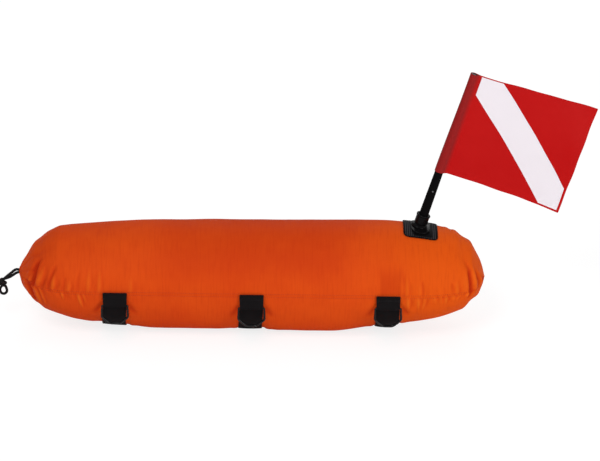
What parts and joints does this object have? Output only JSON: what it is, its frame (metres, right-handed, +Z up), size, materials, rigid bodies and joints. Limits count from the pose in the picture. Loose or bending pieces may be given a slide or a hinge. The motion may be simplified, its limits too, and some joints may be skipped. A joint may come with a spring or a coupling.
{
  "type": "dive float buoy",
  "caption": "Inflatable torpedo-shaped float with a sewn orange cover, webbing straps with ring loops, and a signal flag on a leaning mast.",
  "frame": {"origin": "middle of the flat under the middle strap that the belly rests on", "axes": "+X runs from the nose to the tail, -Y is the front with the seam that the picture shows, +Z is up"},
  "size_m": [1.0697, 0.2068, 0.4899],
  "materials": {
    "orange_nylon": "coated woven nylon, slight sheen",
    "binding_tape": "woven tape, matt",
    "bladder_vinyl": "soft film, satin",
    "black_webbing": "twill weave, matt",
    "black_plastic": "moulded, satin",
    "dark_rubber": "fine ribs, matt",
    "mast_tube": "drawn tube, satin",
    "plated_metal": "plated, bright",
    "ballast_metal": "cast, dull",
    "flag_red": "coated sheet, satin",
    "flag_white": "coated sheet, satin",
    "black_cord": "braided, matt"
  },
  "bodies": {
    "float": {"ballast_plate": "ballast_metal", "ballast_pocket": "orange_nylon", "belly_strap_mid": "black_webbing", "belly_strap_nose": "black_webbing", "belly_strap_tail": "black_webbing", "bladder": "bladder_vinyl", "cover_lower_panel": "orange_nylon", "cover_upper_panel": "orange_nylon", "grip_ring": "dark_rubber", "mast_base": "black_plastic", "mast_patch": "dark_rubber", "nose_toggle": "black_plastic", "ring_keeper_mid_front": "black_webbing", "ring_keeper_mid_rear": "black_webbing", "ring_keeper_nose_front": "black_webbing", "ring_keeper_nose_rear": "black_webbing", "ring_keeper_tail_front": "black_webbing", "ring_keeper_tail_rear": "black_webbing", "seam_binding_front": "binding_tape", "seam_binding_rear": "binding_tape", "tow_cord": "black_cord", "valve_body": "black_plastic", "valve_collar": "dark_rubber", "valve_flap": "dark_rubber", "zip_coil_lower": "black_plastic", "zip_coil_upper": "black_plastic", "zip_stop_nose": "plated_metal", "zip_stop_tail": "plated_metal", "zip_tape_lower": "black_webbing", "zip_tape_upper": "black_webbing"},
    "zip_runner": {"zip_slider": "plated_metal"},
    "zip_puller": {"zip_pull": "plated_metal"},
    "cap_seal": {"valve_washer": "dark_rubber"},
    "cap": {"valve_cap": "black_plastic"},
    "collar": {"mast_collar": "black_plastic"},
    "mast": {"mast_lower": "mast_tube", "mast_upper": "mast_tube", "mast_tip_cap": "black_plastic"},
    "button": {"snap_button": "plated_metal", "button_spring": "plated_metal"},
    "flag": {"flag_sheet": "flag_red", "flag_stripe_front": "flag_white", "flag_stripe_rear": "flag_white"},
    "ring_nose_front": {"d_ring_nose_front": "black_plastic"},
    "ring_nose_rear": {"d_ring_nose_rear": "black_plastic"},
    "ring_mid_front": {"d_ring_mid_front": "black_plastic"},
    "ring_mid_rear": {"d_ring_mid_rear": "black_plastic"},
    "ring_tail_front": {"d_ring_tail_front": "black_plastic"},
    "ring_tail_rear": {"d_ring_tail_rear": "black_plastic"}
  },
  "joints": [
    {"name": "ring_nose_front_swing", "type": "hinge", "parent": "float", "child": "ring_nose_front", "pos_m": [-0.244, -0.09813, 0.07671], "axis": [-1, 0, 0], "range_deg": [-12, 165]},
    {"name": "ring_nose_rear_swing", "type": "hinge", "parent": "float", "child": "ring_nose_rear", "pos_m": [-0.244, 0.09813, 0.07671], "axis": [1, 0, 0], "range_deg": [-12, 165]},
    {"name": "ring_mid_front_swing", "type": "hinge", "parent": "float", "child": "ring_mid_front", "pos_m": [0, -0.10007, 0.0757], "axis": [-1, 0, 0], "range_deg": [-12, 165]},
    {"name": "ring_mid_rear_swing", "type": "hinge", "parent": "float", "child": "ring_mid_rear", "pos_m": [0, 0.10007, 0.0757], "axis": [1, 0, 0], "range_deg": [-12, 165]},
    {"name": "ring_tail_front_swing", "type": "hinge", "parent": "float", "child": "ring_tail_front", "pos_m": [0.244, -0.10031, 0.07789], "axis": [-1, 0, 0], "range_deg": [-12, 165]},
    {"name": "ring_tail_rear_swing", "type": "hinge", "parent": "float", "child": "ring_tail_rear", "pos_m": [0.244, 0.10031, 0.07789], "axis": [1, 0, 0], "range_deg": [-12, 165]},
    {"name": "zip_slide", "type": "slide", "parent": "float", "child": "zip_runner", "axis": [-1, 0, 0], "range_m": [0, 0.322]},
    {"name": "zip_pull_swing", "type": "hinge", "parent": "zip_runner", "child": "zip_puller", "pos_m": [0.1865, 0.09413, 0.14151], "axis": [0, -0.3996, 0.9167], "range_deg": [0, 180]},
    {"name": "valve_lift", "type": "slide", "parent": "float", "child": "cap_seal", "axis": [-0.0165, 0.8774, 0.4795], "range_m": [0, 0.0045]},
    {"name": "cap_turn", "type": "hinge", "parent": "cap_seal", "child": "cap", "pos_m": [-0.238, 0.08435, 0.14243], "axis": [-0.0165, 0.8774, 0.4795], "range_deg": [0, 270]},
    {"name": "collar_turn", "type": "hinge", "parent": "float", "child": "collar", "pos_m": [0.3, 0, 0.19553], "axis": [0.2907, 0, 0.9568], "range_deg": [0, 90]},
    {"name": "mast_lift", "type": "slide", "parent": "float", "child": "mast", "axis": [0.2907, 0, 0.9568], "range_m": [0, 0.022]},
    {"name": "button_press", "type": "slide", "parent": "mast", "child": "button", "axis": [0, 1, 0], "range_m": [0, 0.002], "stiffness_N_per_m": 400, "springref_m": -0.0005},
    {"name": "flag_swing", "type": "hinge", "parent": "mast", "child": "flag", "pos_m": [0.3, 0, 0.19553], "axis": [0.2907, 0, 0.9568], "continuous": true}
  ],
  "couplings": [
    {"joint": "cap_turn", "follows": "valve_lift", "rad_per_m": 1047.2}
  ]
}
